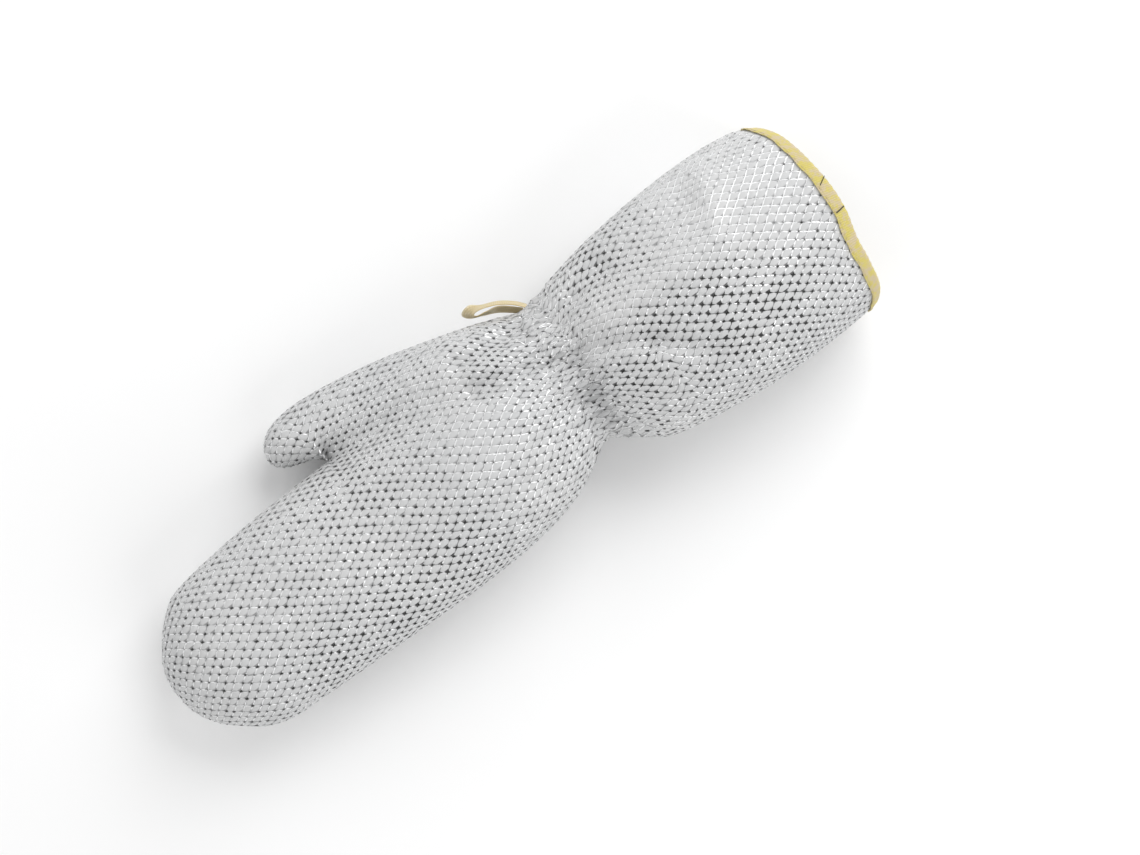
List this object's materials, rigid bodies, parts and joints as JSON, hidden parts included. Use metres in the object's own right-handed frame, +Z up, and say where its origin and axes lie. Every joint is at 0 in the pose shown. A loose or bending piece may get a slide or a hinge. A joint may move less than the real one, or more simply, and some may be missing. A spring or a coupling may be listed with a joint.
{
  "type": "dishwashing mitten",
  "caption": "Long-cuffed wire-knit dishwashing mitten with gathered wrist, bound open mouth and hanging loop, lying on its palm.",
  "frame": {"origin": "centre of the footprint on the surface that the mitten lies on", "axes": "+Y from the mouth to the fingertips, +X towards the thumb, +Z up from the palm to the back"},
  "size_m": [0.1182, 0.3516, 0.0786],
  "materials": {
    "knit_back": "pale grey ground cloth under a net of silver metallised yarn",
    "knit_palm": "pale grey ground cloth under a net of silver metallised yarn",
    "binding": "matte yellow woven tape",
    "loop": "matte ochre ribbed elastic band"
  },
  "bodies": {
    "root": {"back_panel": "knit_back", "palm_panel": "knit_palm", "cuff_binding": "binding", "hang_loop": "loop"}
  },
  "joints": []
}
